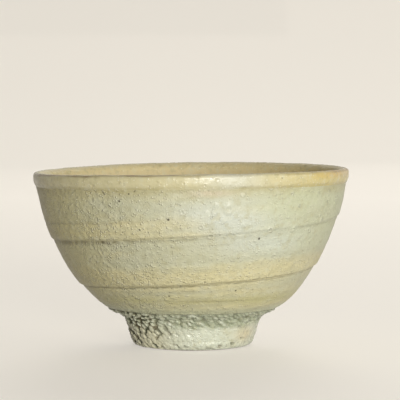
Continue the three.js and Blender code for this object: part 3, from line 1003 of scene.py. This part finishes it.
# Crevices between the beads, where the clay is bare and painted shade darkens it
crevice = (1 - ease(bead, 0.1, 0.65)) * crawl
white_in_angle = 0.8 * np.maximum(bead_side * ease(bead, 0.3, 0.7), 0.75 * foot_streak)
foot_white = np.maximum(1 - in_angle, white_in_angle * (1 - collar_edge))
foot_glaze = turned_mesh(
    "crawled_foot_glaze",
    skin(foot_turn, foot_rows, foot_over * foot_depth),
    white=foot_white,
    crevice=crevice * (1 - 0.65 * in_angle * (1 - bead_side)),
    # A painted shadow line under the step at the outer glaze's edge
    edge=0.7 * bell(foot_rows, collar_end - 0.3 * mm, 0.5 * mm),
    cream=bead_side * (1 - 0.7 * in_angle),
    blush=bell_round(foot_turn, blush_turn, 0.04) * bell(foot_height, blush_height, 3.5 * mm),
    crater=foot_hollow * bead,
)


def crawled_glaze_material():
    """A white sheet, creamier where it beaded, grey-green in the angle under the bowl, bare and painted dark
    as shade in the crevices, with a painted shadow under the outer glaze's edge and one orange-tan blush."""
    material, tree, shader, surface = fired_material("Crawled glaze", {})
    drifts = (
        ("white", colour(0.645, 0.685, 0.57), 1.0),
        ("cream", colour(0.7, 0.65, 0.43), 0.65),
        ("blush", colour(0.66, 0.54, 0.31), 0.6),
    )
    # The crevices' colour: bare clay painted near black as shade, browner in patches
    brown_gap = mask(tree, surface["Mottle"], 0.45, 0.6)
    gap = tint(tree, colour(0.06, 0.07, 0.035), colour(0.15, 0.12, 0.06), brown_gap)
    hollows = (
        ("crevice", gap, 0.95),
        # Painted shadow under the outer glaze's edge
        ("edge", colour(0.14, 0.14, 0.075), 1.0),
        ("crater", colour(0.3, 0.29, 0.19), 0.3),
    )
    body = tinted(tree, colour(0.41, 0.455, 0.325), drifts)
    body = speckled(tree, body, surface, 0.5)
    body = tinted(tree, body, hollows)
    roughness = math(tree, "MULTIPLY_ADD", carried(tree, "crevice"), 0.4, 0.26)
    give_surface(tree, shader, body, roughness, surface["Height"], 1.0, 0.6 * mm)
    return material


crawled_glaze = crawled_glaze_material()
foot_glaze.data.materials.append(crawled_glaze)
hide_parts("foot_glaze")
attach(foot_glaze, "root")

# Glaze in the foot's hollow
# The dip also coats the underside of the bowl inside the ring, and stops short of the ring's bevel. It
# crawled here too, into flat islands.
bare_well = 0.4 * mm
well_low = well_mouth + (well_top - well_mouth) * bare_well / (seat_height - well_mouth[1])
well_side = (well_top - well_low) / np.linalg.norm(well_top - well_low)
well_inward = np.array([-well_side[1], well_side[0]])

well_turn = np.linspace(0, 1, 361)
well_line = np.concatenate([bezier([0, seat_height], well_top)[::9], bezier(well_top, well_low)[6::9]])
well_away = np.where(well_line[:, 1:] >= seat_height, [0, -1], well_inward)
well_at = arc_length(well_line)[:, None]
island_distance, island_number = scatter(well_turn, well_at, well_line[:, :1], 60, 2.2 * mm, 71)
well_crawl = np.clip(0.45 + 0.7 * lattice_noise(well_turn, well_at, 7, 7 * mm, 72), 0, 1)
well_crawl = well_crawl * ease(well_at, 2 * mm, 7 * mm)
island_size = (0.8 + 0.7 * island_number) * mm + 2.5 * mm * (1 - well_crawl) ** 2
island = np.maximum(0, 1 - (island_distance / island_size) ** 2)
well_depth = (glaze - crevice_depth) * np.sqrt(island) * ease(well_at, 0, 1 * mm) + crevice_depth
well_face = well_line[:, None, :] + well_away[:, None, :] * well_depth[:, :, None]
well_back = np.repeat(well_line[::-1][:, None, :], well_turn.size, axis=1)
well_profile = np.concatenate([well_face, well_back])
well_profile[[0, -1], :, 0] = 0
# The islands' crevices take the same painted shade
well_crevice = (1 - ease(island, 0.02, 0.3)) * well_crawl
well_glaze = turned_mesh(
    "foot_hollow_glaze",
    turned(well_turn, well_profile[:, :, 0], well_profile[:, :, 1]),
    white=0.6,
    crevice=np.concatenate([well_crevice, well_crevice[::-1]]),
    edge=0,
    cream=0,
    blush=0,
    crater=0,
)
well_glaze.data.materials.append(crawled_glaze)
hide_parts("well_glaze")
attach(well_glaze, "root")

# Floor and backdrop
# One pale sheet of paper, flat under the bowl and swept up behind it. What the camera and the glaze's gloss
# see of it is brighter than what it throws back onto the bowl. It casts no shadow, because one lamp stands
# behind it and another reaches below it.
sweep_start = 1.2
sweep_radius = 0.8
sweep_width = 4.0
sweep_front = -3.0
sweep_top = 3.0
paper_glow = 0.64


def paper_sweep():
    """A strip that runs flat to the sweep's start, turns up through a quarter circle and climbs straight."""
    bend = np.linspace(0, np.pi / 2, 24)
    sweep_back = sweep_start + sweep_radius
    back = np.concatenate([[sweep_front], sweep_start + sweep_radius * np.sin(bend), [sweep_back]])
    up = np.concatenate([[0.0], sweep_radius * (1 - np.cos(bend)), [sweep_top]])
    sides = np.array([-sweep_width, sweep_width])
    points = np.stack(np.broadcast_arrays(sides[None, :], back[:, None], up[:, None]), axis=-1)
    corner = np.arange(points[..., 0].size).reshape(points.shape[:2])
    faces = np.stack([corner[:-1, 0], corner[:-1, 1], corner[1:, 1], corner[1:, 0]], axis=1)
    mesh = bpy.data.meshes.new("paper_sweep")
    mesh.from_pydata(points.reshape(-1, 3).tolist(), [], faces.tolist())
    mesh.shade_smooth()
    return mesh


def paper_material():
    """Matte paper with a glow that only camera, glossy and transmission rays see."""
    material = bpy.data.materials.new("Pale paper")
    material.use_nodes = True
    tree = material.node_tree
    shader = tree.nodes["Principled BSDF"]
    shader.inputs["Base Color"].default_value = colour(0.43, 0.4, 0.35)
    shader.inputs["Roughness"].default_value = 0.8
    shader.inputs["Emission Color"].default_value = colour(0.8, 0.765, 0.7)
    rays = tree.nodes.new("ShaderNodeLightPath").outputs
    seen = math(tree, "MAXIMUM", rays["Is Camera Ray"], rays["Is Glossy Ray"])
    seen = math(tree, "MAXIMUM", seen, rays["Is Transmission Ray"])
    tree.links.new(math(tree, "MULTIPLY", seen, paper_glow), shader.inputs["Emission Strength"])
    return material


paper = placed("paper_sweep", paper_sweep())
paper.data.materials.append(paper_material())
paper.visible_shadow = False

# Light
# A wide soft window, low in front and a little to the right, a white card at the right, one behind and one
# overhead, all lit, and a faint warm light from all round.
light_height = 60 * mm
lamp_distance = 3.0
lamp_colour = (1.0, 0.975, 0.93)


def soft_lamp(name, azimuth, elevation, width, height, watts):
    """A rectangle of light that faces the bowl from an azimuth right of the front and an elevation."""
    light = bpy.data.lights.new(name, "AREA")
    light.shape = "RECTANGLE"
    light.size = width
    light.size_y = height
    light.energy = watts
    light.color = lamp_colour
    lamp = placed(name, light)
    level = lamp_distance * np.cos(np.radians(elevation))
    lamp.location = (
        level * np.sin(np.radians(azimuth)),
        -level * np.cos(np.radians(azimuth)),
        light_height + lamp_distance * np.sin(np.radians(elevation)),
    )
    lamp.rotation_euler = (np.radians(90 - elevation), 0, np.radians(azimuth))


soft_lamp("window", azimuth=13, elevation=5, width=1.0, height=1.0, watts=83)
soft_lamp("white_card", azimuth=76, elevation=14, width=1.6, height=1.2, watts=18)
soft_lamp("back_card", azimuth=172, elevation=28, width=1.6, height=1.6, watts=38)
soft_lamp("ceiling_card", azimuth=180, elevation=70, width=3.0, height=3.0, watts=14)
world = bpy.data.worlds.new("room")
world.use_nodes = True
room_light = world.node_tree.nodes["Background"].inputs
room_light["Color"].default_value = colour(1.0, 0.87, 0.66)
room_light["Strength"].default_value = 0.05
bpy.context.scene.world = world
bpy.context.scene.view_settings.view_transform = "Standard"

# Camera
# A long lens a metre away, a little above the lip, with the bowl just left of the middle.
camera_tilt = 3.27
camera = bpy.data.cameras.new("camera")
camera.lens = 195.5
camera.sensor_width = 36
camera_body = placed("camera", camera)
camera_body.location = (4.14 * mm, -1.0, 124 * mm)
camera_body.rotation_euler = (np.radians(90 - camera_tilt), 0, 0)
bpy.context.scene.camera = camera_body
